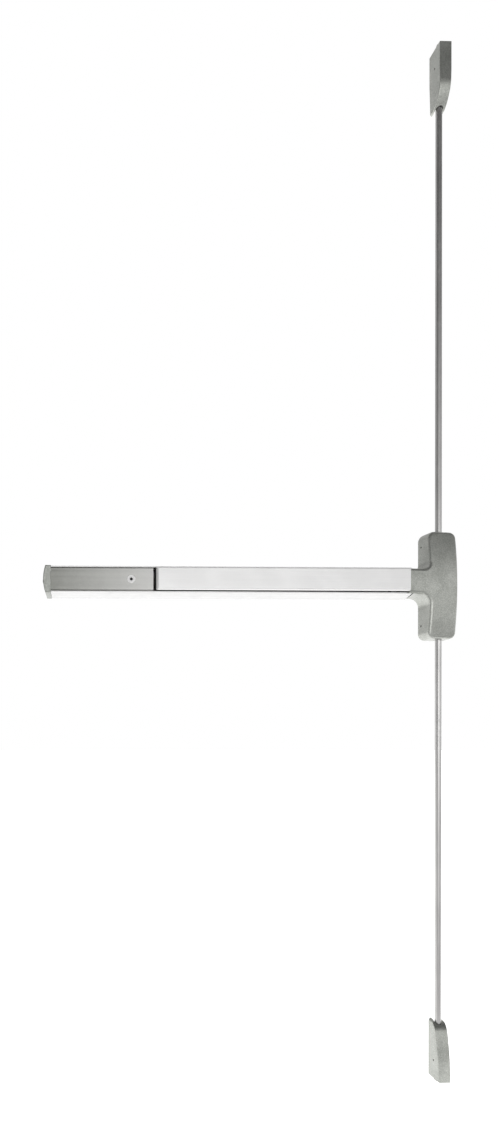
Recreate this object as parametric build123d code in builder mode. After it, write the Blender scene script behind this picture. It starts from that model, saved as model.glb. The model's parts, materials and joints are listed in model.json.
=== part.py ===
from build123d import *
import os
from math import cos, radians, sin

os.makedirs("parts", exist_ok=True)

# A surface vertical rod exit device for a door 915 mm wide and 2135 mm high.
# Origin: on the door's face, where the rods' axis crosses the bar's centreline.
# +X runs along the bar towards the rods, +Y goes into the door, +Z is up.
# "Out" is the distance from the door's face, towards the person who pushes.

# ---- driving dimensions, in millimetres and degrees ----
SHEET = 3.0                 # back plates and the extrusion's back wall
CLEAR = 0.3                 # gap between pieces that move past each other
FIT = 0.08                  # radial clearance of a pin in its hole

CHANNEL_LEFT = -801.4
CHANNEL_OUT = 50.0
HALF_AT_DOOR = 30.5         # half height of the channel on the door
HALF_AT_LIP = 26.2          # half height of the channel at its open edge
CHANNEL_WALL = 2.4
JOINT_DOOR_X = -61.6        # slanted joint between channel and case, on the door
JOINT_LIP_X = -70.5         # the same joint at the channel's open edge
JOINT_GAP = 3.2
LIP_GAP = 0.6               # between the channel's open edge and the neck that covers it

COVER_RIGHT = -597.0
COVER_HALF = 23.4
COVER_OUT = 51.5
END_BULGE_X = -816.8
END_CORNER_X = -810.6
END_CAP_OUT = 51.8

PAD_LEFT = -594.2
PAD_FACE_LEFT = -587.6
PAD_RIGHT = -82.0
PAD_HALF = 22.4
PAD_OUT = 64.0
PAD_SKIRT_OUT = 42.0
PAD_SKIRT_HALF = 20.6       # the skirts stand in from the face, clear of the channel
PAD_NOSE_OUT = 57.0         # the face's rolled edge ends here
PAD_WALL = 2.2
PAD_TRAVEL = 12.0

CASE_LEFT = -36.8
CASE_RIGHT = 28.5
CASE_TOP = 105.0
CASE_BOTTOM = -116.5
CASE_RIGHT_OUT = 40.0       # height of the domed front's crown at the case's right side
CASE_SLOPE = 0.16           # the front rises by this towards the bar, to reach over its end
CASE_END_DROP = 12.0        # the dome is this much lower at the case's two ends
CASE_WALL = 2.5
CASE_DRAFT = 3.0
CASE_EDGE = 6.0
NECK_TOP = 27.0
NECK_BOTTOM = -28.6
NECK_END_X = -81.2
NECK_START_X = -96.0

ROD_RADIUS = 6.35
ROD_OUT = 12.0
HALF_SWING = 17.2           # cranks and levers swing this far each side of square
BAR_ARM = 16.0              # crank arm on the actuator bar, and lever arm on the fork
ROD_ARM = 22.0              # lever arm on a rod slide
PAD_ARM = PAD_TRAVEL / (2 * sin(radians(HALF_SWING)))
BAR_TRAVEL = 2 * BAR_ARM * sin(radians(HALF_SWING))
ROD_TRAVEL = 2 * ROD_ARM * sin(radians(HALF_SWING))

TOP_LATCH_TOP = 1100.0
TOP_LATCH_BOTTOM = 979.0
BOTTOM_LATCH_TOP = -905.0
BOTTOM_LATCH_BOTTOM = -1023.0
LATCH_HALF = 12.7           # half width at the ears' height
LATCH_BACK_HALF = 13.8      # half width on the door
LATCH_DRAFT = 2.2
LATCH_WALL = 2.0
LATCH_OUT = 40.0
LATCH_FOOT_OUT = 41.0

DOGGING_X = -641.0

# ---- working planes ----
FRONT = Plane.XZ                                                    # (x, z), normal outwards
SIDE = Plane((0, 0, 0), x_dir=(0, -1, 0), z_dir=(-1, 0, 0))         # (out, z), normal -X
PLAN = Plane((0, 0, 0), x_dir=(1, 0, 0), z_dir=(0, 0, -1))          # (x, out), normal -Z


def at_out(out):
    """Plane parallel to the door, at a distance out from it."""
    return FRONT.offset(out)


def at_x(x):
    """Plane across the bar; its sketches are in (out, z) and extrude towards -X."""
    return SIDE.offset(-x)


def at_z(z):
    """Level plane; its sketches are in (x, out) and extrude downwards."""
    return PLAN.offset(-z)


def arm_end(pivot, length, angle):
    """End point of an arm that leaves its pivot at an angle from the first axis."""
    turn = radians(angle)
    return (pivot[0] + length * cos(turn), pivot[1] + length * sin(turn))


def channel_half(out):
    """Half height of the channel's slightly flared outside at a distance out."""
    return HALF_AT_DOOR + (HALF_AT_LIP - HALF_AT_DOOR) * out / CHANNEL_OUT


# ==== the bar: channel, cover and end cap ====

CRANK_XS = {"near": -150.0, "far": -520.0}
CRANK_OUT = 30.0
BRACKET_SCREW_X = 15.0
BRACKET_SCREW_Z = 20.0
SCREW_RADIUS = 2.0
SPLICE_LEFT, SPLICE_RIGHT = -112.0, -40.0
SPLICE_SCREW_XS = (-100.0, -82.0, -50.0)
DOGGING_SCREW_XS = (DOGGING_X - 26.0, DOGGING_X + 28.0)
DOGGING_SCREW_Z = 12.0
END_PLATE_LEFT, END_PLATE_RIGHT = -806.0, -776.0
END_SCREW_X = -783.0

channel_screw_points = [(x, z) for x in SPLICE_SCREW_XS[:2] for z in (-16.0, 16.0)]
for crank_x in CRANK_XS.values():
    for side in (-1, 1):
        channel_screw_points += [
            (crank_x + side * BRACKET_SCREW_X, -BRACKET_SCREW_Z),
            (crank_x + side * BRACKET_SCREW_X, BRACKET_SCREW_Z),
        ]
channel_screw_points += [
    (x, z) for x in DOGGING_SCREW_XS for z in (-DOGGING_SCREW_Z, DOGGING_SCREW_Z)
]

with BuildPart() as mounting_channel:
    with BuildSketch(at_x(JOINT_DOOR_X)):
        inner_door = channel_half(SHEET) - CHANNEL_WALL
        inner_lip = HALF_AT_LIP - CHANNEL_WALL
        Polygon(
            (0, -HALF_AT_DOOR), (CHANNEL_OUT, -HALF_AT_LIP), (CHANNEL_OUT, -inner_lip),
            (SHEET, -inner_door), (SHEET, inner_door), (CHANNEL_OUT, inner_lip),
            (CHANNEL_OUT, HALF_AT_LIP), (0, HALF_AT_DOOR), align=None,
        )
    extrude(amount=JOINT_DOOR_X - CHANNEL_LEFT)
    # the right end follows the slanted joint with the case
    with BuildSketch(at_z(HALF_AT_DOOR + 1)):
        Polygon(
            (JOINT_DOOR_X - JOINT_GAP, 0), (JOINT_DOOR_X + 1, 0), (JOINT_DOOR_X + 1, CHANNEL_OUT),
            (JOINT_LIP_X - JOINT_GAP, CHANNEL_OUT), align=None,
        )
    extrude(amount=2 * HALF_AT_DOOR + 2, mode=Mode.SUBTRACT)
    # the back wall is open at the left end, where the end bracket sits on the door
    with BuildSketch(at_out(0)):
        with Locations(((CHANNEL_LEFT + END_PLATE_RIGHT) / 2 + 0.5, 0)):
            Rectangle(END_PLATE_RIGHT - CHANNEL_LEFT + 1, 2 * inner_door - 2)
    extrude(amount=SHEET, mode=Mode.SUBTRACT)
    with BuildSketch(at_out(0)):
        with Locations(*channel_screw_points):
            Circle(SCREW_RADIUS)
    extrude(amount=SHEET, mode=Mode.SUBTRACT)
mounting_channel.part.label = "mounting_channel"
export_step(mounting_channel.part, "parts/mounting_channel.step")

# The cover closes the channel between the end cap and the touchpad.
COVER_PLATE = 2.5
COVER_LEG_OUT = 34.0
COVER_TOP_EDGE = 2.4
COVER_BOTTOM_EDGE = 4.2
BUSHING_RADIUS = 6.4
with BuildPart() as channel_cover:
    with BuildSketch(at_x(COVER_RIGHT)):
        with Locations(((COVER_LEG_OUT + COVER_OUT) / 2, 0)):
            Rectangle(COVER_OUT - COVER_LEG_OUT, 2 * COVER_HALF)
    extrude(amount=COVER_RIGHT - CHANNEL_LEFT)
    front_edges = channel_cover.edges().filter_by(Axis.X).group_by(Axis.Y)[0].sort_by(Axis.Z)
    fillet(front_edges[-1], COVER_TOP_EDGE)
    fillet(front_edges[0], COVER_BOTTOM_EDGE)
    with BuildSketch(at_x(COVER_RIGHT)):
        with Locations(((COVER_LEG_OUT + COVER_OUT - COVER_PLATE) / 2, 0)):
            Rectangle(COVER_OUT - COVER_PLATE - COVER_LEG_OUT, 2 * (COVER_HALF - COVER_PLATE))
    extrude(amount=COVER_RIGHT - CHANNEL_LEFT, mode=Mode.SUBTRACT)
    with BuildSketch(at_out(COVER_LEG_OUT)):
        with Locations((DOGGING_X, 0)):
            Circle(BUSHING_RADIUS + 0.05)
    extrude(amount=COVER_OUT, mode=Mode.SUBTRACT)
channel_cover.part.label = "channel_cover"
export_step(channel_cover.part, "parts/channel_cover.step")

# The end bracket is screwed to the door and carries the bar's free end and its cap.
END_BLOCK_OUT = 33.0
END_BLOCK_LEFT, END_BLOCK_RIGHT = -806.0, -792.0
END_BOLT_SPACING = 38.0
END_BOLT_RADIUS = 2.75
with BuildPart() as end_bracket:
    with BuildSketch(at_out(0)):
        with Locations(((END_PLATE_LEFT + END_PLATE_RIGHT) / 2, 0)):
            RectangleRounded(END_PLATE_RIGHT - END_PLATE_LEFT, 2 * 26.0, 3)
    extrude(amount=SHEET)
    with BuildSketch(at_out(SHEET)):
        with Locations(((END_BLOCK_LEFT + END_BLOCK_RIGHT) / 2, 0)):
            Rectangle(END_BLOCK_RIGHT - END_BLOCK_LEFT, 18)
    extrude(amount=END_BLOCK_OUT - SHEET)
    with BuildSketch(at_out(0)):
        with Locations((END_SCREW_X, -END_BOLT_SPACING / 2), (END_SCREW_X, END_BOLT_SPACING / 2)):
            Circle(END_BOLT_RADIUS)
    extrude(amount=SHEET, mode=Mode.SUBTRACT)
    # tapped hole for the cap's screw
    with BuildSketch(at_x(END_BLOCK_LEFT)):
        with Locations((25, 0)):
            Circle(SCREW_RADIUS + 0.02)
    extrude(amount=-14, mode=Mode.SUBTRACT)
end_bracket.part.label = "end_bracket"
export_step(end_bracket.part, "parts/end_bracket.step")

END_CAP_RIGHT = CHANNEL_LEFT - 0.4
END_CAP_MARGIN = 0.9
END_CAP_WALL = 2.4


def end_cap_block(inset):
    """Solid of the bowed end cap, drawn in by an inset on every side but the right one."""
    base = HALF_AT_DOOR + END_CAP_MARGIN - inset
    front = HALF_AT_LIP + END_CAP_MARGIN - inset
    corner = END_CORNER_X + inset
    with BuildPart() as block:
        with BuildSketch(at_x(END_CAP_RIGHT)):
            Polygon(
                (0, -base), (END_CAP_OUT - inset, -front), (END_CAP_OUT - inset, front), (0, base),
                align=None,
            )
        extrude(amount=END_CAP_RIGHT - END_BULGE_X)
        with BuildSketch(at_out(0)):
            with BuildLine():
                Polyline(
                    (corner, -base - 1), (END_CAP_RIGHT, -base - 1),
                    (END_CAP_RIGHT, base + 1), (corner, base + 1),
                )
                ThreePointArc((corner, base + 1), (END_BULGE_X + inset, 0), (corner, -base - 1))
            make_face()
        extrude(amount=END_CAP_OUT, mode=Mode.INTERSECT)
    return block.part


with BuildPart() as end_cap:
    add(end_cap_block(0))
    front_edges = end_cap.edges().filter_by(lambda edge: edge.center().Y < -END_CAP_OUT + 1)
    fillet(front_edges.filter_by(lambda edge: edge.center().X < END_CAP_RIGHT - 1), 1.6)
    add(end_cap_block(END_CAP_WALL), mode=Mode.SUBTRACT)
    with BuildSketch(at_x(END_BULGE_X + 6)):
        with Locations((25, 0)):
            Circle(SCREW_RADIUS + 0.1)
    extrude(amount=10, mode=Mode.SUBTRACT)
end_cap.part.label = "end_cap"
export_step(end_cap.part, "parts/end_cap.step")

with BuildPart() as end_cap_screw:
    with BuildSketch(at_x(END_BLOCK_LEFT + 10)):
        with Locations((25, 0)):
            Circle(SCREW_RADIUS)
    extrude(amount=10 + END_BLOCK_LEFT - END_BULGE_X)
    with BuildSketch(at_x(END_BULGE_X)):
        with Locations((25, 0)):
            Circle(3.8)
    extrude(amount=1.8)
    fillet(end_cap_screw.edges().group_by(Axis.X)[0], 1.0)
    with BuildSketch(at_x(END_BULGE_X - 1.8)):
        with Locations((25, 0)):
            RegularPolygon(1.3, 6)
    extrude(amount=-1.4, mode=Mode.SUBTRACT)
end_cap_screw.part.label = "end_cap_screw"
export_step(end_cap_screw.part, "parts/end_cap_screw.step")

# ==== dogging: a hex key turns the cam, which holds the actuator bar back ====

BUSHING_BORE = 5.2
BUSHING_FLANGE = 8.0
DOGGING_HEAD_OUT = 52.2
DOGGING_HUB_OUT = 24.5
DOGGING_SHAFT = 4.0
HEX_ACROSS_FLATS = 5.0
with BuildPart() as dogging_bushing:
    with BuildSketch(at_out(44)):
        with Locations((DOGGING_X, 0)):
            Circle(BUSHING_RADIUS)
    extrude(amount=COVER_OUT - 44)
    with BuildSketch(at_out(COVER_OUT)):
        with Locations((DOGGING_X, 0)):
            Circle(BUSHING_FLANGE)
    extrude(amount=1.2)
    fillet(dogging_bushing.edges().group_by(Axis.Y)[0], 0.6)
    with BuildSketch(at_out(44)):
        with Locations((DOGGING_X, 0)):
            Circle(BUSHING_BORE)
    extrude(amount=10, mode=Mode.SUBTRACT)
dogging_bushing.part.label = "dogging_bushing"
export_step(dogging_bushing.part, "parts/dogging_bushing.step")

with BuildPart() as dogging_screw:
    with BuildSketch(at_out(42)):
        with Locations((DOGGING_X, 0)):
            Circle(BUSHING_BORE - FIT)
    extrude(amount=DOGGING_HEAD_OUT - 42)
    chamfer(dogging_screw.edges().group_by(Axis.Y)[0], 0.5)
    with BuildSketch(at_out(20)):
        with Locations((DOGGING_X, 0)):
            Circle(DOGGING_SHAFT)
    extrude(amount=22)
    with BuildSketch(at_out(DOGGING_HEAD_OUT)):
        with Locations((DOGGING_X, 0)):
            RegularPolygon(HEX_ACROSS_FLATS / 2, 6, major_radius=False)
    extrude(amount=-8, mode=Mode.SUBTRACT)
dogging_screw.part.label = "dogging_screw"
export_step(dogging_screw.part, "parts/dogging_screw.step")

CAM_REACH = 14.0
CAM_HALF = 2.3
CAM_ANGLE = 45.0
cam_tip = arm_end((DOGGING_X, 0), CAM_REACH - CAM_HALF, CAM_ANGLE)
with BuildPart() as dogging_cam:
    with BuildSketch(at_out(20.5)):
        with BuildSketch(mode=Mode.PRIVATE) as arm:
            with Locations((DOGGING_X, 0), cam_tip):
                Circle(CAM_HALF)
            make_hull()
        add(arm.sketch)
        with Locations((DOGGING_X, 0)):
            Circle(6.0)
            Circle(DOGGING_SHAFT + 0.02, mode=Mode.SUBTRACT)
    extrude(amount=3.5)
dogging_cam.part.label = "dogging_cam"
export_step(dogging_cam.part, "parts/dogging_cam.step")

# A hat-shaped bridge across the channel carries the dogging screw's shaft.
BRIDGE_LEGS = (DOGGING_X - 18.0, DOGGING_X + 20.0)
BRIDGE_HALF = 19.0
BRIDGE_OUT = 38.0
BRIDGE_FLANGE = 13.0
with BuildPart() as dogging_bracket:
    with BuildSketch(at_z(BRIDGE_HALF)):
        with BuildLine():
            left, right = BRIDGE_LEGS
            Polyline(
                (left - BRIDGE_FLANGE, SHEET), (left + 1, SHEET), (left + 1, BRIDGE_OUT - 3),
                (right - 1, BRIDGE_OUT - 3), (right - 1, SHEET), (right + BRIDGE_FLANGE, SHEET),
                (right + BRIDGE_FLANGE, SHEET + 2), (right + 1, SHEET + 2), (right + 1, BRIDGE_OUT),
                (left - 1, BRIDGE_OUT), (left - 1, SHEET + 2), (left - BRIDGE_FLANGE, SHEET + 2),
                close=True,
            )
        make_face()
    extrude(amount=2 * BRIDGE_HALF)
    # the actuator bar passes through both legs
    with BuildSketch(at_out(SHEET)):
        with Locations((DOGGING_X, 0)):
            Rectangle(90, 15)
    extrude(amount=15.5, mode=Mode.SUBTRACT)
    with BuildSketch(at_out(SHEET)):
        with Locations(*[(x, z) for x in DOGGING_SCREW_XS for z in (-DOGGING_SCREW_Z, DOGGING_SCREW_Z)]):
            Circle(SCREW_RADIUS)
    extrude(amount=2, mode=Mode.SUBTRACT)
    with BuildSketch(at_out(SHEET)):
        with Locations((DOGGING_X, 0)):
            Circle(DOGGING_SHAFT + FIT)
    extrude(amount=40, mode=Mode.SUBTRACT)
dogging_bracket.part.label = "dogging_bracket"
export_step(dogging_bracket.part, "parts/dogging_bracket.step")

# ==== the actuator bar and what rides on it ====

BAR_OUT = 12.5
BAR_THICK = 4.0
BAR_HALF = 7.0
BAR_LEFT, BAR_RIGHT = -655.0, -30.0
ARM_NECK = 2.5
ARM_TIP = 3.5
ARM_HALF_WIDTH = 4.0
crank_tip_x = {
    side: x + BAR_ARM * sin(radians(HALF_SWING)) for side, x in CRANK_XS.items()
}
FORK_LEFT, FORK_RIGHT = -60.0, -11.0
FORK_OUT = BAR_OUT + BAR_THICK
FORK_HALF = 14.5
FORK_RIVET_XS = (-54.0, -36.0)
RIVET_RADIUS = 1.75
CATCH_POST = (DOGGING_X + 12.9, -10.0)

with BuildPart() as actuator_bar:
    with BuildSketch(at_out(BAR_OUT)):
        with Locations(((BAR_LEFT + BAR_RIGHT) / 2, 0)):
            RectangleRounded(BAR_RIGHT - BAR_LEFT, 2 * BAR_HALF, 2)
        with Locations(*[(x, 0) for x in crank_tip_x.values()]):
            Rectangle(2 * (ARM_TIP + CLEAR), 2 * (ARM_HALF_WIDTH + CLEAR), mode=Mode.SUBTRACT)
        with Locations(*[(x, 0) for x in FORK_RIVET_XS]):
            Circle(RIVET_RADIUS, mode=Mode.SUBTRACT)
    extrude(amount=BAR_THICK)
actuator_bar.part.label = "actuator_bar"
export_step(actuator_bar.part, "parts/actuator_bar.step")

PIN_RADIUS = 3.0
LEVER_PIVOTS = {"upper": (-22.0, 24.0), "lower": (-22.0, -24.0)}
FORK_SLOT_CENTRE = 8.36
fork_slot_x = LEVER_PIVOTS["upper"][0] + BAR_ARM * sin(radians(HALF_SWING))
with BuildPart() as actuator_fork:
    with BuildSketch(at_out(FORK_OUT)):
        with Locations(((FORK_LEFT + FORK_RIGHT) / 2, 0)):
            RectangleRounded(FORK_RIGHT - FORK_LEFT, 2 * FORK_HALF, 3)
        with Locations((fork_slot_x, FORK_SLOT_CENTRE), (fork_slot_x, -FORK_SLOT_CENTRE)):
            Rectangle(2 * (PIN_RADIUS + CLEAR), 2 * (PIN_RADIUS + 0.7), mode=Mode.SUBTRACT)
        with Locations(*[(x, 0) for x in FORK_RIVET_XS]):
            Circle(RIVET_RADIUS, mode=Mode.SUBTRACT)
    extrude(amount=3.0)
actuator_fork.part.label = "actuator_fork"
export_step(actuator_fork.part, "parts/actuator_fork.step")

with BuildPart() as fork_rivets:
    with BuildSketch(at_out(BAR_OUT)):
        with Locations(*[(x, 0) for x in FORK_RIVET_XS]):
            Circle(RIVET_RADIUS)
    extrude(amount=BAR_THICK + 3.0)
    with BuildSketch(at_out(FORK_OUT + 3.0)):
        with Locations(*[(x, 0) for x in FORK_RIVET_XS]):
            Circle(2 * RIVET_RADIUS)
    extrude(amount=0.4)
fork_rivets.part.label = "fork_rivets"
export_step(fork_rivets.part, "parts/fork_rivets.step")

with BuildPart() as dogging_catch:
    with BuildSketch(at_out(FORK_OUT)):
        with Locations((CATCH_POST[0], -3.5)):
            RectangleRounded(10, 19, 2)
    extrude(amount=2.5)
    with BuildSketch(at_out(FORK_OUT + 2.5)):
        with Locations(CATCH_POST):
            Circle(2.0)
    extrude(amount=6.0)
dogging_catch.part.label = "dogging_catch"
export_step(dogging_catch.part, "parts/dogging_catch.step")

# ==== bell cranks, their brackets and the pad's carriers ====

CRANK_HUB = 6.0
CRANK_HUB_HALF = 13.0
BRACKET_EAR = 2.5
BRACKET_EAR_Z = 13.3
BRACKET_PIVOT_HALF = BRACKET_EAR_Z + BRACKET_EAR + 1.0
CARRIER_EAR_Z = 4.6
CARRIER_EAR = 3.0
CARRIER_PIN_HALF = CARRIER_EAR_Z + CARRIER_EAR + 0.8
CARRIER_HALF_LENGTH = 8.5
CARRIER_LOW_OUT = 31.0

for side, crank_x in CRANK_XS.items():
    pivot = (crank_x, CRANK_OUT)
    pad_end = arm_end(pivot, PAD_ARM, HALF_SWING)
    bar_end = arm_end(pivot, BAR_ARM, HALF_SWING - 90)

    with BuildPart() as crank_bracket:
        with BuildSketch(at_out(SHEET)):
            with Locations((crank_x, 0)):
                RectangleRounded(2 * BRACKET_SCREW_X + 9, 2 * BRACKET_SCREW_Z + 9, 2)
            with Locations(*[
                (crank_x + dx, dz)
                for dx in (-BRACKET_SCREW_X, BRACKET_SCREW_X)
                for dz in (-BRACKET_SCREW_Z, BRACKET_SCREW_Z)
            ]):
                Circle(SCREW_RADIUS, mode=Mode.SUBTRACT)
        extrude(amount=2.5)
        for level in (BRACKET_EAR_Z + BRACKET_EAR, -BRACKET_EAR_Z):
            with BuildSketch(at_z(level)):
                with Locations((crank_x, (SHEET + CRANK_OUT) / 2)):
                    Rectangle(18, CRANK_OUT - SHEET)
                with Locations(pivot):
                    Circle(9)
                    Circle(PIN_RADIUS + 0.02, mode=Mode.SUBTRACT)
            extrude(amount=BRACKET_EAR)
    crank_bracket.part.label = f"{side}_crank_bracket"
    export_step(crank_bracket.part, f"parts/{side}_crank_bracket.step")

    with BuildPart() as bell_crank:
        with BuildSketch(at_z(CRANK_HUB_HALF)):
            with Locations(pivot):
                Circle(CRANK_HUB)
        extrude(amount=2 * CRANK_HUB_HALF)
        with BuildSketch(at_z(ARM_HALF_WIDTH)):
            for tip, radius in ((pad_end, 5.2), (bar_end, ARM_NECK)):
                with BuildSketch(mode=Mode.PRIVATE) as arm:
                    with Locations(pivot, tip):
                        Circle(radius)
                    make_hull()
                add(arm.sketch)
            with Locations(bar_end):
                Circle(ARM_TIP)
        extrude(amount=2 * ARM_HALF_WIDTH)
        with BuildSketch(at_z(CRANK_HUB_HALF)):
            with Locations(pivot):
                Circle(PIN_RADIUS + FIT)
            with Locations(pad_end):
                Circle(PIN_RADIUS + 0.02)
        extrude(amount=2 * CRANK_HUB_HALF, mode=Mode.SUBTRACT)
    bell_crank.part.label = f"{side}_bell_crank"
    export_step(bell_crank.part, f"parts/{side}_bell_crank.step")

    with BuildPart() as crank_roller:
        with BuildSketch(at_z(CARRIER_PIN_HALF)):
            with Locations(pad_end):
                Circle(PIN_RADIUS)
        extrude(amount=2 * CARRIER_PIN_HALF)
    crank_roller.part.label = f"{side}_crank_roller_pin"
    export_step(crank_roller.part, f"parts/{side}_crank_roller_pin.step")

    # The carrier hangs under the pad; its slots let the pin swing through its arc.
    slot_x = pad_end[0] + PAD_ARM * (1 - cos(radians(HALF_SWING))) / 2
    with BuildPart() as pad_carrier:
        with BuildSketch(at_out(PAD_OUT - PAD_WALL)):
            with Locations((slot_x, 0)):
                Rectangle(2 * CARRIER_HALF_LENGTH, 2 * 16.0)
        extrude(amount=-2.5)
        for level in (CARRIER_EAR_Z + CARRIER_EAR, -CARRIER_EAR_Z):
            with BuildSketch(at_z(level)):
                ear_top = PAD_OUT - PAD_WALL - 2.5
                with Locations((slot_x, (ear_top + CARRIER_LOW_OUT) / 2)):
                    Rectangle(2 * CARRIER_HALF_LENGTH, ear_top - CARRIER_LOW_OUT)
                with Locations((slot_x, pad_end[1])):
                    SlotOverall(2 * (PIN_RADIUS + 1.1), 2 * (PIN_RADIUS + CLEAR), mode=Mode.SUBTRACT)
            extrude(amount=CARRIER_EAR)
    pad_carrier.part.label = f"{side}_pad_carrier"
    export_step(pad_carrier.part, f"parts/{side}_pad_carrier.step")

with BuildPart() as crank_pins:
    for crank_x in CRANK_XS.values():
        with BuildSketch(at_z(BRACKET_PIVOT_HALF)):
            with Locations((crank_x, CRANK_OUT)):
                Circle(PIN_RADIUS)
        extrude(amount=2 * BRACKET_PIVOT_HALF)
        with BuildSketch(at_z(BRACKET_PIVOT_HALF + 1)):
            with Locations((crank_x, CRANK_OUT)):
                Circle(PIN_RADIUS + 1.2)
        extrude(amount=1)
crank_pins.part.label = "crank_pins"
export_step(crank_pins.part, "parts/crank_pins.step")

# ==== the touchpad ====

PAD_TOP_EDGE = 2.2
PAD_BOTTOM_EDGE = 4.6


def pad_section(inset, low):
    """Closed outline of the pad in (out, z): a face with rolled edges on narrower skirts."""
    half = PAD_HALF - inset
    skirt = PAD_SKIRT_HALF - inset
    nose = PAD_NOSE_OUT + inset
    face = PAD_OUT - inset
    with BuildSketch(mode=Mode.PRIVATE) as section:
        with BuildLine():
            FilletPolyline(
                (low, -skirt), (nose, -skirt), (nose, -half), (face, -half),
                (face, half), (nose, half), (nose, skirt), (low, skirt),
                radius=(
                    0, 0, 0.6, PAD_BOTTOM_EDGE - inset, max(PAD_TOP_EDGE - inset, 0.2), 0.6, 0, 0,
                ),
                close=True,
            )
        make_face()
    return section.sketch


pad_outside = pad_section(0, PAD_SKIRT_OUT)
with BuildSketch() as pad_hollow:
    inner_half = PAD_SKIRT_HALF - PAD_WALL
    with Locations(((PAD_SKIRT_OUT + PAD_OUT - PAD_WALL) / 2, 0)):
        Rectangle(PAD_OUT - PAD_WALL - PAD_SKIRT_OUT, 2 * inner_half)
with BuildPart() as touchpad:
    with BuildSketch(at_x(PAD_RIGHT)):
        add(pad_outside)
        add(pad_hollow.sketch, mode=Mode.SUBTRACT)
    extrude(amount=PAD_RIGHT - PAD_FACE_LEFT)
touchpad.part.label = "touchpad"
export_step(touchpad.part, "parts/touchpad.step")

with BuildPart() as touchpad_end_cap:
    with BuildSketch(at_x(PAD_FACE_LEFT)):
        add(pad_outside)
    extrude(amount=PAD_FACE_LEFT - PAD_LEFT)
    with BuildSketch(at_z(PAD_HALF + 1)):
        Polygon(
            (PAD_LEFT - 1, CHANNEL_OUT + 1), (PAD_LEFT, CHANNEL_OUT + 1), (PAD_FACE_LEFT, PAD_OUT + 0.01),
            (PAD_LEFT - 1, PAD_OUT + 0.01), align=None,
        )
    extrude(amount=2 * PAD_HALF + 2, mode=Mode.SUBTRACT)
touchpad_end_cap.part.label = "touchpad_end_cap"
export_step(touchpad_end_cap.part, "parts/touchpad_end_cap.step")

with BuildPart() as touchpad_plug:
    with BuildSketch(at_x(PAD_RIGHT - 1.0)):
        add(pad_hollow.sketch)
    extrude(amount=3)
touchpad_plug.part.label = "touchpad_plug"
export_step(touchpad_plug.part, "parts/touchpad_plug.step")

# ==== the centre case ====

BASE_LEFT, BASE_RIGHT = -33.0, 24.5
BASE_BOTTOM, BASE_TOP = -112.0, 100.5
CASE_BOLT_X = 32.0
CASE_BOLT_Z = 164.0
CASE_BOLT_RADIUS = 3.25
CASE_SCREW_ZS = (76.0, -87.0)
CASE_SCREW_OUT = 11.5
CASE_SCREW_RADIUS = 2.0
SPLICE_SCREWS_ON_BASE = [(SPLICE_SCREW_XS[2], z) for z in (-16.0, 16.0)]


def case_block(inset):
    """The T-shaped case as a solid, drawn in by an inset: drafted walls, domed front."""
    left, right = CASE_LEFT + inset, CASE_RIGHT - inset
    top, bottom = CASE_TOP - inset, CASE_BOTTOM + inset
    neck_top, neck_bottom = NECK_TOP - inset, NECK_BOTTOM + inset
    neck_left = NECK_START_X - inset
    with BuildPart() as block:
        with BuildSketch(at_out(0)):
            with BuildLine():
                FilletPolyline(
                    (neck_left, neck_top), (left, neck_top), (left, top), (right, top),
                    (right, bottom), (left, bottom), (left, neck_bottom), (neck_left, neck_bottom),
                    radius=(
                        0, 13 + inset, 17 - inset, 15 - inset,
                        14 - inset, 14 - inset, 20 + inset, 0,
                    ),
                    close=True,
                )
            make_face()
        extrude(amount=CASE_RIGHT_OUT + 22, taper=CASE_DRAFT)
        with BuildSketch(at_x(CASE_RIGHT)):
            with BuildLine():
                crown = CASE_RIGHT_OUT - inset
                end = crown - CASE_END_DROP
                middle = (CASE_TOP + CASE_BOTTOM) / 2
                Polyline((end, CASE_BOTTOM), (-25, CASE_BOTTOM), (-25, CASE_TOP), (end, CASE_TOP))
                ThreePointArc((end, CASE_TOP), (crown, middle), (end, CASE_BOTTOM))
            make_face()
        extrude(amount=CASE_RIGHT - neck_left + 4, dir=(-1, -CASE_SLOPE, 0), mode=Mode.INTERSECT)
    return block.part


with BuildPart() as case_cover:
    add(case_block(0))
    rim = case_cover.edges().filter_by(lambda edge: edge.center().Y < -CASE_RIGHT_OUT / 2 - 4)
    fillet(rim.filter_by(lambda edge: edge.center().X > NECK_START_X + 4), CASE_EDGE)
    add(case_block(CASE_WALL), mode=Mode.SUBTRACT)
    # the neck ends along the slanted joint, and its front reaches over the channel's end
    with BuildSketch(at_z(NECK_TOP + 10)):
        Polygon(
            (NECK_START_X - 9, -5), (JOINT_DOOR_X + 1.1, -5), (JOINT_LIP_X, CHANNEL_OUT),
            (JOINT_LIP_X, CHANNEL_OUT + LIP_GAP), (NECK_END_X, CHANNEL_OUT + LIP_GAP),
            (NECK_END_X, PAD_OUT), (NECK_START_X - 9, PAD_OUT), align=None,
        )
    extrude(amount=NECK_TOP - NECK_BOTTOM + 20, mode=Mode.SUBTRACT)
    # rod holes in the two ends
    for level in (CASE_TOP + 2, CASE_BOTTOM + 12):
        with BuildSketch(at_z(level)):
            with Locations((0, ROD_OUT)):
                Circle(ROD_RADIUS + 0.9)
        extrude(amount=14, mode=Mode.SUBTRACT)
    with BuildSketch(at_x(CASE_RIGHT + 2)):
        with Locations(*[(CASE_SCREW_OUT, z) for z in CASE_SCREW_ZS]):
            Circle(CASE_SCREW_RADIUS + 0.2)
    extrude(amount=CASE_RIGHT - CASE_LEFT + 4, mode=Mode.SUBTRACT)
case_cover.part.label = "case_cover"
export_step(case_cover.part, "parts/case_cover.step")

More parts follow.
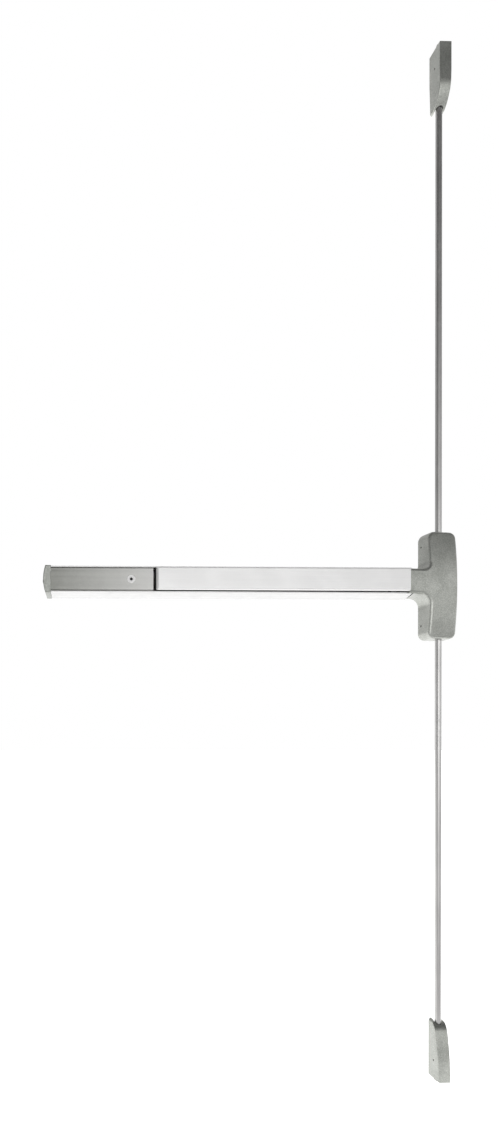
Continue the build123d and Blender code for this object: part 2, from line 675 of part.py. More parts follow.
with BuildPart() as case_baseplate:
    with BuildSketch(at_out(0)):
        with Locations(((BASE_LEFT + BASE_RIGHT) / 2, (BASE_TOP + BASE_BOTTOM) / 2)):
            RectangleRounded(BASE_RIGHT - BASE_LEFT, BASE_TOP - BASE_BOTTOM, 15)
        with Locations(((JOINT_DOOR_X + 3 + BASE_LEFT) / 2 + 1, 0)):
            Rectangle(BASE_LEFT - JOINT_DOOR_X - 1, 2 * 21.0)
        with GridLocations(CASE_BOLT_X, CASE_BOLT_Z, 2, 2):
            Circle(CASE_BOLT_RADIUS, mode=Mode.SUBTRACT)
        with Locations(*SPLICE_SCREWS_ON_BASE):
            Circle(SCREW_RADIUS, mode=Mode.SUBTRACT)
    extrude(amount=SHEET)
    with BuildSketch(at_out(SHEET)):
        with Locations(*[(x, z) for x in (BASE_LEFT + 1.25, BASE_RIGHT - 1.25) for z in CASE_SCREW_ZS]):
            Rectangle(2.5, 12)
    extrude(amount=14)
    with BuildSketch(at_x(BASE_RIGHT + 1)):
        with Locations(*[(CASE_SCREW_OUT, z) for z in CASE_SCREW_ZS]):
            Circle(CASE_SCREW_RADIUS + 0.02)
    extrude(amount=BASE_RIGHT - BASE_LEFT + 2, mode=Mode.SUBTRACT)
case_baseplate.part.label = "case_baseplate"
export_step(case_baseplate.part, "parts/case_baseplate.step")

with BuildPart() as case_cover_screws:
    for x_outer, inward in ((CASE_LEFT + 1.6, -1), (CASE_RIGHT - 1.6, 1)):
        with BuildSketch(at_x(x_outer)):
            with Locations(*[(CASE_SCREW_OUT, z) for z in CASE_SCREW_ZS]):
                Circle(CASE_SCREW_RADIUS)
        extrude(amount=inward * 6.5)
        with BuildSketch(at_x(x_outer)):
            with Locations(*[(CASE_SCREW_OUT, z) for z in CASE_SCREW_ZS]):
                RegularPolygon(1.2, 6)
        extrude(amount=inward * 1.5, mode=Mode.SUBTRACT)
case_cover_screws.part.label = "case_cover_screws"
export_step(case_cover_screws.part, "parts/case_cover_screws.step")

with BuildPart() as splice_plate:
    with BuildSketch(at_out(SHEET)):
        with Locations(((SPLICE_LEFT + SPLICE_RIGHT) / 2, 0)):
            RectangleRounded(SPLICE_RIGHT - SPLICE_LEFT, 2 * 20.0, 3)
        with Locations(*[(x, z) for x in SPLICE_SCREW_XS for z in (-16.0, 16.0)]):
            Circle(SCREW_RADIUS, mode=Mode.SUBTRACT)
    extrude(amount=2.5)
splice_plate.part.label = "splice_plate"
export_step(splice_plate.part, "parts/splice_plate.step")

# ---- transfer levers on their pivots ----

LEVER_OUT = 20.0
LEVER_THICK = 3.0
PIVOT_SHOULDER = 5.0
lever_clip_out = LEVER_OUT + LEVER_THICK + CLEAR
with BuildPart() as lever_pivot_pins:
    with BuildSketch(at_out(SHEET)):
        with Locations(*LEVER_PIVOTS.values()):
            Circle(PIVOT_SHOULDER)
    extrude(amount=LEVER_OUT - CLEAR - SHEET)
    with BuildSketch(at_out(LEVER_OUT - CLEAR)):
        with Locations(*LEVER_PIVOTS.values()):
            Circle(PIN_RADIUS)
    extrude(amount=LEVER_THICK + 2.6)
lever_pivot_pins.part.label = "lever_pivot_pins"
export_step(lever_pivot_pins.part, "parts/lever_pivot_pins.step")

with BuildPart() as lever_clips:
    with BuildSketch(at_out(lever_clip_out)):
        with Locations(*LEVER_PIVOTS.values()):
            Circle(PIN_RADIUS + 2.6)
            Circle(PIN_RADIUS + 0.02, mode=Mode.SUBTRACT)
    extrude(amount=1.0)
lever_clips.part.label = "lever_clips"
export_step(lever_clips.part, "parts/lever_clips.step")

lever_rod_ends = {}
for side, pivot in LEVER_PIVOTS.items():
    sign = 1 if side == "upper" else -1
    rod_end = arm_end(pivot, ROD_ARM, sign * HALF_SWING)
    fork_end = arm_end(pivot, BAR_ARM, sign * (HALF_SWING - 90))
    lever_rod_ends[side] = rod_end

    with BuildPart() as transfer_lever:
        with BuildSketch(at_out(LEVER_OUT)):
            for tip in (rod_end, fork_end):
                with BuildSketch(mode=Mode.PRIVATE) as arm:
                    with Locations(pivot):
                        Circle(7.0)
                    with Locations(tip):
                        Circle(5.0)
                    make_hull()
                add(arm.sketch)
            with Locations(pivot):
                Circle(PIN_RADIUS + FIT, mode=Mode.SUBTRACT)
            with Locations(rod_end, fork_end):
                Circle(PIN_RADIUS + 0.02, mode=Mode.SUBTRACT)
        extrude(amount=LEVER_THICK)
    transfer_lever.part.label = f"{side}_transfer_lever"
    export_step(transfer_lever.part, f"parts/{side}_transfer_lever.step")

    with BuildPart() as lever_drive_pins:
        for tip, low in ((rod_end, 9.5), (fork_end, FORK_OUT + 0.5)):
            with BuildSketch(at_out(low)):
                with Locations(tip):
                    Circle(PIN_RADIUS)
            extrude(amount=LEVER_OUT + LEVER_THICK - low)
    lever_drive_pins.part.label = f"{side}_lever_drive_pins"
    export_step(lever_drive_pins.part, f"parts/{side}_lever_drive_pins.step")

# ---- rod slides, their guides, springs and lock nuts ----

SLIDE_HALF = 8.0
SLIDE_OUT = (9.0, 15.0)
SLIDE_IN_Z = 20.0
SLIDE_STEP_Z = 44.0
GUIDE_Z = (46.0, 52.0)
COLLAR_Z = (80.0, 86.0)
NUT_Z = (86.0, 91.0)
ROD_END_Z = 91.0
STEM_RADIUS = 5.0
STUD_RADIUS = 3.5
SPRING_RADIUS = 6.9
SPRING_WIRE = 0.7
SPRING_TURNS = 7

for side, sign in (("upper", 1), ("lower", -1)):
    def level(z):
        """Height of a level plane on this side of the case, drawn away from the middle."""
        return at_z(sign * z)

    def away(length):
        """Extrusion length of a level plane's sketch, away from the middle of the case."""
        return -sign * length

    slot_x = -ROD_ARM * (1 - cos(radians(HALF_SWING))) / 2
    with BuildPart() as rod_slide:
        with BuildSketch(level(SLIDE_IN_Z)):
            with Locations((0, sum(SLIDE_OUT) / 2)):
                Rectangle(2 * SLIDE_HALF, SLIDE_OUT[1] - SLIDE_OUT[0])
        extrude(amount=away(SLIDE_STEP_Z - SLIDE_IN_Z))
        with BuildSketch(at_out(SLIDE_OUT[0])):
            with Locations((slot_x, lever_rod_ends[side][1])):
                SlotOverall(2 * (PIN_RADIUS + 1.0), 2 * (PIN_RADIUS + CLEAR))
        extrude(amount=SLIDE_OUT[1] - SLIDE_OUT[0], mode=Mode.SUBTRACT)
        with BuildSketch(level(SLIDE_STEP_Z)):
            with Locations((0, ROD_OUT)):
                Circle(STEM_RADIUS)
        extrude(amount=away(COLLAR_Z[0] - SLIDE_STEP_Z))
        with BuildSketch(level(COLLAR_Z[0])):
            with Locations((0, ROD_OUT)):
                Circle(8.2)
        extrude(amount=away(COLLAR_Z[1] - COLLAR_Z[0]))
        with BuildSketch(level(COLLAR_Z[1])):
            with Locations((0, ROD_OUT)):
                Circle(STUD_RADIUS)
        extrude(amount=away(14))
    rod_slide.part.label = f"{side}_rod_slide"
    export_step(rod_slide.part, f"parts/{side}_rod_slide.step")

    with BuildPart() as slide_guide:
        with BuildSketch(level(GUIDE_Z[0])):
            with Locations((0, (SHEET + 20.5) / 2)):
                Rectangle(28, 20.5 - SHEET)
            with Locations((0, ROD_OUT)):
                Circle(STEM_RADIUS + FIT, mode=Mode.SUBTRACT)
        extrude(amount=away(GUIDE_Z[1] - GUIDE_Z[0]))
    slide_guide.part.label = f"{side}_slide_guide"
    export_step(slide_guide.part, f"parts/{side}_slide_guide.step")

    with BuildPart() as rod_locknut:
        with BuildSketch(level(NUT_Z[0])):
            with Locations((0, ROD_OUT)):
                RegularPolygon(7.0, 6, major_radius=False)
                Circle(STUD_RADIUS + 0.02, mode=Mode.SUBTRACT)
        extrude(amount=away(NUT_Z[1] - NUT_Z[0]))
    rod_locknut.part.label = f"{side}_rod_locknut"
    export_step(rod_locknut.part, f"parts/{side}_rod_locknut.step")

    spring_low = GUIDE_Z[1] + SPRING_WIRE + 0.05
    spring_height = COLLAR_Z[0] - GUIDE_Z[1] - 2 * SPRING_WIRE - 0.1
    centre = (0, -ROD_OUT, spring_low if sign > 0 else -spring_low - spring_height)
    with BuildPart() as slide_spring:
        with BuildLine() as coil:
            Helix(spring_height / SPRING_TURNS, spring_height, SPRING_RADIUS, center=centre)
        with BuildSketch(Plane(coil.line @ 0, z_dir=coil.line % 0)):
            Circle(SPRING_WIRE)
        sweep(is_frenet=True)
    slide_spring.part.label = f"{side}_slide_spring"
    export_step(slide_spring.part, f"parts/{side}_slide_spring.step")

# ==== the rods ====

TOP_BOLT_Z = (1036.0, 1112.0)
BOTTOM_BOLT_Z = (-960.0, -1031.0)
ROD_SPIGOT = 4.0
ROD_SPIGOT_LENGTH = 14.0
TOP_CROSS_PIN_Z = 1043.0
BOTTOM_CROSS_PIN_Z = -967.0
CROSS_PIN_RADIUS = 1.5

for side, sign, far_end, cross_z in (
    ("upper", 1, TOP_BOLT_Z[0], TOP_CROSS_PIN_Z), ("lower", -1, -BOTTOM_BOLT_Z[0], BOTTOM_CROSS_PIN_Z)
):
    with BuildPart() as rod:
        with BuildSketch(at_z(sign * ROD_END_Z)):
            with Locations((0, ROD_OUT)):
                Circle(ROD_RADIUS)
        extrude(amount=-sign * (far_end - ROD_END_Z))
        with BuildSketch(at_z(sign * far_end)):
            with Locations((0, ROD_OUT)):
                Circle(ROD_SPIGOT)
        extrude(amount=-sign * ROD_SPIGOT_LENGTH)
        with BuildSketch(at_z(sign * ROD_END_Z)):
            with Locations((0, ROD_OUT)):
                Circle(STUD_RADIUS + 0.02)
        extrude(amount=-sign * 12, mode=Mode.SUBTRACT)
        with BuildSketch(at_x(10)):
            with Locations((ROD_OUT, cross_z)):
                Circle(CROSS_PIN_RADIUS + 0.02)
        extrude(amount=20, mode=Mode.SUBTRACT)
    rod.part.label = f"{side}_rod"
    export_step(rod.part, f"parts/{side}_rod.step")

BOLT_HALF = 7.0
with BuildPart() as top_bolt:
    with BuildSketch(at_z(TOP_BOLT_Z[0])):
        with Locations((0, ROD_OUT)):
            RectangleRounded(2 * BOLT_HALF, 2 * BOLT_HALF, 1.5)
            Circle(ROD_SPIGOT + 0.05, mode=Mode.SUBTRACT)
    extrude(amount=-(ROD_SPIGOT_LENGTH + 1))
    with BuildSketch(at_z(TOP_BOLT_Z[0] + ROD_SPIGOT_LENGTH + 1)):
        with Locations((0, ROD_OUT)):
            RectangleRounded(2 * BOLT_HALF, 2 * BOLT_HALF, 1.5)
    extrude(amount=-(TOP_BOLT_Z[1] - TOP_BOLT_Z[0] - ROD_SPIGOT_LENGTH - 1))
    # the nose slopes so that the closing door pushes it down
    with BuildSketch(at_x(10)):
        Polygon(
            (ROD_OUT - 8, TOP_BOLT_Z[1] - 10), (ROD_OUT - 8, TOP_BOLT_Z[1] + 1),
            (ROD_OUT + 5, TOP_BOLT_Z[1] + 1), align=None,
        )
    extrude(amount=20, mode=Mode.SUBTRACT)
    with BuildSketch(at_x(10)):
        with Locations((ROD_OUT, TOP_CROSS_PIN_Z)):
            Circle(CROSS_PIN_RADIUS + 0.02)
    extrude(amount=20, mode=Mode.SUBTRACT)
top_bolt.part.label = "top_bolt"
export_step(top_bolt.part, "parts/top_bolt.step")

BOTTOM_BOLT_RADIUS = 7.9
with BuildPart() as bottom_bolt:
    with BuildSketch(at_z(BOTTOM_BOLT_Z[0])):
        with Locations((0, ROD_OUT)):
            Circle(BOTTOM_BOLT_RADIUS)
    extrude(amount=BOTTOM_BOLT_Z[0] - BOTTOM_BOLT_Z[1])
    chamfer(bottom_bolt.edges().group_by(Axis.Z)[0], 1.5)
    with BuildSketch(at_z(BOTTOM_BOLT_Z[0])):
        with Locations((0, ROD_OUT)):
            Circle(ROD_SPIGOT + 0.05)
    extrude(amount=ROD_SPIGOT_LENGTH + 1, mode=Mode.SUBTRACT)
    with BuildSketch(at_x(10)):
        with Locations((ROD_OUT, BOTTOM_CROSS_PIN_Z)):
            Circle(CROSS_PIN_RADIUS + 0.02)
    extrude(amount=20, mode=Mode.SUBTRACT)
bottom_bolt.part.label = "bottom_bolt"
export_step(bottom_bolt.part, "parts/bottom_bolt.step")

for name, cross_z in (("top_bolt_pin", TOP_CROSS_PIN_Z), ("bottom_bolt_pin", BOTTOM_CROSS_PIN_Z)):
    with BuildPart() as bolt_pin:
        with BuildSketch(at_x(BOLT_HALF - 0.2)):
            with Locations((ROD_OUT, cross_z)):
                Circle(CROSS_PIN_RADIUS)
        extrude(amount=2 * (BOLT_HALF - 0.2))
    bolt_pin.part.label = name
    export_step(bolt_pin.part, f"parts/{name}.step")

# ==== the latch cases at the door's top and bottom ====

LATCH_EDGE = 1.8
EAR_OUTER = LATCH_HALF - LATCH_WALL - 0.3
EAR_THICK = 2.0
LATCH_SCREW_OUT = 19.5
LATCH_SCREW_RADIUS = 1.8
LATCH_BASE_OUT = 2.5
BACK = -4.0                 # latch outlines start behind the door's face


def top_latch_profile(inset):
    """Side view of the top case in (out, z): flat front, then a curve down to the door."""
    with BuildSketch(mode=Mode.PRIVATE) as profile:
        with BuildLine():
            Polyline(
                (BACK, TOP_LATCH_BOTTOM), (BACK, TOP_LATCH_TOP),
                (LATCH_OUT, TOP_LATCH_TOP), (LATCH_OUT, 1026),
            )
            ThreePointArc((LATCH_OUT, 1026), (36.4, 1006), (28.0, 992.5))
            ThreePointArc((28.0, 992.5), (18.0, 983.5), (6.0, TOP_LATCH_BOTTOM))
            Line((6.0, TOP_LATCH_BOTTOM), (BACK, TOP_LATCH_BOTTOM))
        make_face()
        if inset:
            offset(amount=-inset, kind=Kind.INTERSECTION)
    return profile.sketch


def bottom_latch_profile(inset):
    """Side view of the bottom case in (out, z): a front that bows in to a rounded top."""
    with BuildSketch(mode=Mode.PRIVATE) as profile:
        with BuildLine():
            Polyline(
                (6.0, BOTTOM_LATCH_TOP), (BACK, BOTTOM_LATCH_TOP), (BACK, BOTTOM_LATCH_BOTTOM),
                (LATCH_FOOT_OUT, BOTTOM_LATCH_BOTTOM),
            )
            ThreePointArc((LATCH_FOOT_OUT, BOTTOM_LATCH_BOTTOM), (37.0, -970), (28.0, -926))
            ThreePointArc((28.0, -926), (19.5, -911.5), (6.0, BOTTOM_LATCH_TOP))
        make_face()
        if inset:
            offset(amount=-inset, kind=Kind.INTERSECTION)
    return profile.sketch


def top_latch_plan(inset):
    """Front view of the top case in (x, z) at the door: narrower towards its foot."""
    half = LATCH_BACK_HALF - inset
    foot_half = half - 1.8
    foot = TOP_LATCH_BOTTOM + inset
    return [
        (-foot_half, foot), (foot_half, foot), (half, 1040),
        (half, TOP_LATCH_TOP - inset), (-half, TOP_LATCH_TOP - inset), (-half, 1040),
    ], (4, 4, 0, 0, 0, 0)


def bottom_latch_plan(inset):
    """Front view of the bottom case in (x, z) at the door: rounded top corners."""
    half = LATCH_BACK_HALF - inset
    top = BOTTOM_LATCH_TOP - inset
    foot = BOTTOM_LATCH_BOTTOM + inset
    return [(-half, foot), (half, foot), (half, top), (-half, top)], (0, 0, 7 - inset, 7 - inset)


def latch_block(profile_of, plan_of, inset):
    """Solid where a drafted front view and a side view cross, drawn in by an inset."""
    points, radii = plan_of(inset)
    width = 2 * LATCH_BACK_HALF + 4
    with BuildPart() as block:
        with BuildSketch(at_out(0)):
            with BuildLine():
                FilletPolyline(*points, radius=radii, close=True)
            make_face()
        extrude(amount=LATCH_FOOT_OUT + 4, taper=LATCH_DRAFT)
        with BuildSketch(at_x(width / 2)):
            add(profile_of(inset))
        extrude(amount=width, mode=Mode.INTERSECT)
    return block.part


def latch_cover(profile_of, plan_of):
    """Hollow latch cover, open to the door, with its front edges rounded."""
    with BuildPart() as cover:
        add(latch_block(profile_of, plan_of, 0))
        corners = cover.edges().filter_by(lambda edge: edge.center().Y < -24)
        fillet(corners.filter_by(lambda edge: abs(edge.center().X) > LATCH_HALF / 2), LATCH_EDGE)
        add(latch_block(profile_of, plan_of, LATCH_WALL), mode=Mode.SUBTRACT)
    return cover.part


ROD_SLOT = 8.4


def rod_opening():
    """Arched opening, in (x, out), from the door's face round the rod."""
    with BuildSketch(mode=Mode.PRIVATE) as opening:
        with Locations((0, ROD_OUT / 2)):
            Rectangle(2 * ROD_SLOT, ROD_OUT)
        with Locations((0, ROD_OUT)):
            Circle(ROD_SLOT)
    return opening.sketch


TRIGGER_OUT = 28.0
TOP_SCREW_Z = 1060.0
BOTTOM_SCREW_Z = -985.0
with BuildPart() as top_latch_cover:
    add(latch_cover(top_latch_profile, top_latch_plan))
    with BuildSketch(at_z(TOP_LATCH_TOP + 1)):
        with Locations((0, 10.6)):
            Rectangle(2 * (BOLT_HALF + 0.6), 21.4)
        with Locations((0, TRIGGER_OUT + 2)):
            Rectangle(9, 15)
    extrude(amount=2 * LATCH_WALL + 2, mode=Mode.SUBTRACT)
    with BuildSketch(at_z(TOP_LATCH_BOTTOM - 1)):
        add(rod_opening())
    extrude(amount=-24, mode=Mode.SUBTRACT)
    with BuildSketch(at_x(LATCH_BACK_HALF)):
        with Locations((LATCH_SCREW_OUT, TOP_SCREW_Z)):
            Circle(LATCH_SCREW_RADIUS + 0.2)
    extrude(amount=2 * LATCH_BACK_HALF, mode=Mode.SUBTRACT)
top_latch_cover.part.label = "top_latch_cover"
export_step(top_latch_cover.part, "parts/top_latch_cover.step")

with BuildPart() as bottom_latch_cover:
    add(latch_cover(bottom_latch_profile, bottom_latch_plan))
    with BuildSketch(at_z(BOTTOM_LATCH_TOP + 1)):
        add(rod_opening())
    extrude(amount=20, mode=Mode.SUBTRACT)
    with BuildSketch(at_z(BOTTOM_LATCH_BOTTOM + 2 * LATCH_WALL)):
        with Locations((0, ROD_OUT)):
            Circle(BOTTOM_BOLT_RADIUS + 0.5)
    extrude(amount=2 * LATCH_WALL + 2, mode=Mode.SUBTRACT)
    with BuildSketch(at_x(LATCH_BACK_HALF)):
        with Locations((LATCH_SCREW_OUT, BOTTOM_SCREW_Z)):
            Circle(LATCH_SCREW_RADIUS + 0.2)
    extrude(amount=2 * LATCH_BACK_HALF, mode=Mode.SUBTRACT)
bottom_latch_cover.part.label = "bottom_latch_cover"
export_step(bottom_latch_cover.part, "parts/bottom_latch_cover.step")

TRIGGER_PIN_Z = 1078.0
TRIGGER_PIN_RADIUS = 2.0
LATCH_BOLT_SPACING = 50.0
LATCH_BOLT_RADIUS = 2.4


def latch_base(low, high, ear_low, ear_high, ear_out, screw_z, bolt_z):
    """Steel base of a latch: a strip on the door with two ears for the cover's screws."""
    with BuildPart() as base:
        with BuildSketch(at_out(0)):
            with Locations((0, (low + high) / 2)):
                Rectangle(2 * EAR_OUTER, high - low)
            with Locations((0, bolt_z - LATCH_BOLT_SPACING / 2), (0, bolt_z + LATCH_BOLT_SPACING / 2)):
                Circle(LATCH_BOLT_RADIUS, mode=Mode.SUBTRACT)
        extrude(amount=LATCH_BASE_OUT)
        with BuildSketch(at_out(LATCH_BASE_OUT)):
            with Locations(*[
                (sign * (EAR_OUTER - EAR_THICK / 2), (ear_low + ear_high) / 2) for sign in (-1, 1)
            ]):
                Rectangle(EAR_THICK, ear_high - ear_low)
        extrude(amount=ear_out - LATCH_BASE_OUT)
        with BuildSketch(at_x(EAR_OUTER + 1)):
            with Locations((LATCH_SCREW_OUT, screw_z)):
                Circle(LATCH_SCREW_RADIUS + 0.02)
        extrude(amount=2 * EAR_OUTER + 2, mode=Mode.SUBTRACT)
    return base.part


with BuildPart() as top_latch_base:
    add(latch_base(994, TOP_LATCH_TOP - LATCH_WALL - 1, 1044, 1090, 33, TOP_SCREW_Z, 1030))
    with BuildSketch(at_x(EAR_OUTER + 1)):
        with Locations((TRIGGER_OUT, TRIGGER_PIN_Z)):
            Circle(TRIGGER_PIN_RADIUS + 0.02)
    extrude(amount=2 * EAR_OUTER + 2, mode=Mode.SUBTRACT)
top_latch_base.part.label = "top_latch_base"
export_step(top_latch_base.part, "parts/top_latch_base.step")

with BuildPart() as bottom_latch_base:
    add(latch_base(BOTTOM_LATCH_BOTTOM + LATCH_WALL + 1, -914, -1005, -962, 26, BOTTOM_SCREW_Z, -955))
bottom_latch_base.part.label = "bottom_latch_base"
export_step(bottom_latch_base.part, "parts/bottom_latch_base.step")

# Keepers bridge the ears in front of each bolt and guide it.
for name, low, high in (("top_bolt_keeper", 1050.0, 1070.0), ("bottom_bolt_keeper", -1000.0, -970.0)):
    with BuildPart() as bolt_keeper:
        with BuildSketch(at_out(20.4)):
            with Locations((0, (low + high) / 2)):
                Rectangle(2 * (EAR_OUTER - EAR_THICK) - 0.1, high - low)
        extrude(amount=2.5)
    bolt_keeper.part.label = name
    export_step(bolt_keeper.part, f"parts/{name}.step")

with BuildPart() as latch_cover_screws:
    for screw_z in (TOP_SCREW_Z, BOTTOM_SCREW_Z):
        for inward in (-1, 1):
            with BuildSketch(at_x(inward * (LATCH_HALF - 0.9))):
                with Locations((LATCH_SCREW_OUT, screw_z)):
                    Circle(LATCH_SCREW_RADIUS)
            extrude(amount=inward * (LATCH_WALL + EAR_THICK - 0.6))
            with BuildSketch(at_x(inward * (LATCH_HALF - 0.9))):
                with Locations((LATCH_SCREW_OUT, screw_z)):
                    RegularPolygon(1.0, 6)
            extrude(amount=inward * 1.2, mode=Mode.SUBTRACT)
latch_cover_screws.part.label = "latch_cover_screws"
export_step(latch_cover_screws.part, "parts/latch_cover_screws.step")

# The trigger holds the top bolt back until the closing door meets the frame.
with BuildPart() as latch_trigger:
    with BuildSketch(at_x(3.5)):
        with Locations((TRIGGER_OUT, TRIGGER_PIN_Z)):
            Circle(4.2)
        with Locations((TRIGGER_OUT, (TRIGGER_PIN_Z + 1106) / 2)):
            Rectangle(6, 1106 - TRIGGER_PIN_Z)
        with Locations((TRIGGER_OUT, 1106)):
            Circle(3.0)
        with Locations((TRIGGER_OUT, TRIGGER_PIN_Z)):
            Circle(TRIGGER_PIN_RADIUS + FIT, mode=Mode.SUBTRACT)
    extrude(amount=7)
latch_trigger.part.label = "latch_trigger"
export_step(latch_trigger.part, "parts/latch_trigger.step")

with BuildPart() as trigger_pin:
    with BuildSketch(at_x(EAR_OUTER)):
        with Locations((TRIGGER_OUT, TRIGGER_PIN_Z)):
            Circle(TRIGGER_PIN_RADIUS)
    extrude(amount=2 * EAR_OUTER)
trigger_pin.part.label = "trigger_pin"
export_step(trigger_pin.part, "parts/trigger_pin.step")

# ---- screws that hold the brackets and the splice to the back walls ----

SCREW_HEAD_OUT = {"bracket": SHEET + 2.5, "dogging": SHEET + 2.0}
bracket_points = [p for p in channel_screw_points if p[0] not in DOGGING_SCREW_XS]
dogging_points = [p for p in channel_screw_points if p[0] in DOGGING_SCREW_XS]
with BuildPart() as channel_screws:
    for points, head in (
        (bracket_points + SPLICE_SCREWS_ON_BASE, SCREW_HEAD_OUT["bracket"]),
        (dogging_points, SCREW_HEAD_OUT["dogging"]),
    ):
        with BuildSketch(at_out(0.3)):
            with Locations(*points):
                Circle(SCREW_RADIUS - 0.03)
        extrude(amount=head - 0.3)
        with BuildSketch(at_out(head)):
            with Locations(*points):
                Circle(1.8 * SCREW_RADIUS)
        extrude(amount=1.2)
channel_screws.part.label = "channel_screws"
export_step(channel_screws.part, "parts/channel_screws.step")

print("bar travel", round(BAR_TRAVEL, 3), "rod travel", round(ROD_TRAVEL, 3))
print("pad arm", round(PAD_ARM, 3), "swing", 2 * HALF_SWING)
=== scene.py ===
# %% [markdown]
# # A panic exit bar, finished in Blender
# The bar's mechanism arrives as a set of exact parts: a long channel with a pad on it, a tall
# centre case, and two latch cases joined to it by rods. Their shapes and places are settled.
# What is left is the finish: cast covers under satin paint, drawn rods, brushed aluminium and a
# smooth pale pad. Loading comes first, and the box of the loaded parts is kept.

# %% Load the parts
import json
import math
import bpy
import numpy as np
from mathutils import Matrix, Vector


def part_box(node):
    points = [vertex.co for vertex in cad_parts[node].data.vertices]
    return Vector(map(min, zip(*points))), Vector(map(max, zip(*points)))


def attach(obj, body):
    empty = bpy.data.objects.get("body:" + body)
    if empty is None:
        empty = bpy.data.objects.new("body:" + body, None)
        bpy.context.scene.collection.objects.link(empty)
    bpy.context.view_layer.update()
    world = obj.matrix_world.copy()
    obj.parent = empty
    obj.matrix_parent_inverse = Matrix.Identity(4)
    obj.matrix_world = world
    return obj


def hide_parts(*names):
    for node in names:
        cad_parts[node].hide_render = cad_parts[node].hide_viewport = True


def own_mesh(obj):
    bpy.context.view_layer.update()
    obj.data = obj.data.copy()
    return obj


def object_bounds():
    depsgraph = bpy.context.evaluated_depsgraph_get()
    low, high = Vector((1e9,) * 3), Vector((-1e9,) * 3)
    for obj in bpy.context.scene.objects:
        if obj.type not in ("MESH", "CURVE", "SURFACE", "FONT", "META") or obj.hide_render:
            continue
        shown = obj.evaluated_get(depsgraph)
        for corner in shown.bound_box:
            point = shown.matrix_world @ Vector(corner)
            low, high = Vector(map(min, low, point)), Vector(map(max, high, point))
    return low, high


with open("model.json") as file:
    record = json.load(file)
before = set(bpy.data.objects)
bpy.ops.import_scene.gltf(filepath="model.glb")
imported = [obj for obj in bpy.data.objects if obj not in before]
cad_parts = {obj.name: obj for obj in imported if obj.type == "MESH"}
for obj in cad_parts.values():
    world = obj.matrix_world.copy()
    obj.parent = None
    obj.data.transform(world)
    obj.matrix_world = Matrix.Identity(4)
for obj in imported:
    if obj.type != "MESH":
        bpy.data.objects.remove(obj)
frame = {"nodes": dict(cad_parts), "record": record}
CAD_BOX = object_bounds()
NODES = frame["nodes"]
SLOT_OF = {part["node"]: part["material_slot"] for part in frame["record"]["subparts"]}
MM = 0.001

# %% [markdown]
# ## Shader maths as Python
# A material is a small network of nodes. Drawing it by hand is quick for one material, but slow
# for ten that share their ideas. Here `Wire` stands for the output of a node, and its operators
# add Math nodes, so that `0.3 + 0.2 * grain` reads as what it does. `Network` holds a tree, and
# its method `add` makes any other node: settings first, then socket values. `Finish` is the
# network of one material. The studio's surround, further down, is a plain `Network`.


# %% A wire between shader nodes
class Wire:
    """The output of a node. Arithmetic on it adds Math nodes to the same network."""

    def __init__(self, network, socket):
        self.network = network
        self.socket = socket

    def _math(self, operation, first, second):
        return self.network.add("ShaderNodeMath", {"operation": operation}, {0: first, 1: second})

    def __add__(self, other):
        return self._math("ADD", self, other)

    def __sub__(self, other):
        return self._math("SUBTRACT", self, other)

    def __rsub__(self, other):
        return self._math("SUBTRACT", other, self)

    def __mul__(self, other):
        return self._math("MULTIPLY", self, other)

    def __pow__(self, other):
        return self._math("POWER", self, other)

    __radd__ = __add__
    __rmul__ = __mul__


class Network:
    """A tree of shader nodes, emptied, with the methods that fill it."""

    def __init__(self, tree):
        self.tree = tree
        self.tree.nodes.clear()

    def add(self, kind, settings=None, values=None, out=0):
        """Makes a node, applies its settings, fills its sockets, and returns one output."""
        node = self.tree.nodes.new(kind)
        for key, value in (settings or {}).items():
            setattr(node, key, value)
        for key, value in (values or {}).items():
            if isinstance(value, Wire):
                self.tree.links.new(value.socket, node.inputs[key])
            else:
                node.inputs[key].default_value = value
        return Wire(self, node.outputs[out]) if node.outputs else None

    def above(self, value, low, high):
        """0 below `low`, 1 above `high`, and an even ramp between them."""
        return self.add(
            "ShaderNodeMapRange", {}, {"Value": value, "From Min": low, "From Max": high}
        )

    def axis(self, vector, letter):
        """One coordinate of a vector: "X", "Y" or "Z"."""
        return self.add("ShaderNodeSeparateXYZ", {}, {0: vector}, out=letter)

    def steps(self, value, stops):
        """A smooth curve through (position, height) stops, read at `value`."""
        node = self.tree.nodes.new("ShaderNodeFloatCurve")
        points = node.mapping.curves[0].points
        while len(points) < len(stops):
            points.new(0.5, 0.5)
        for point, (position, level) in zip(points, stops):
            point.location = (position, level)
        node.mapping.update()
        self.tree.links.new(value.socket, node.inputs["Value"])
        return Wire(self, node.outputs[0])


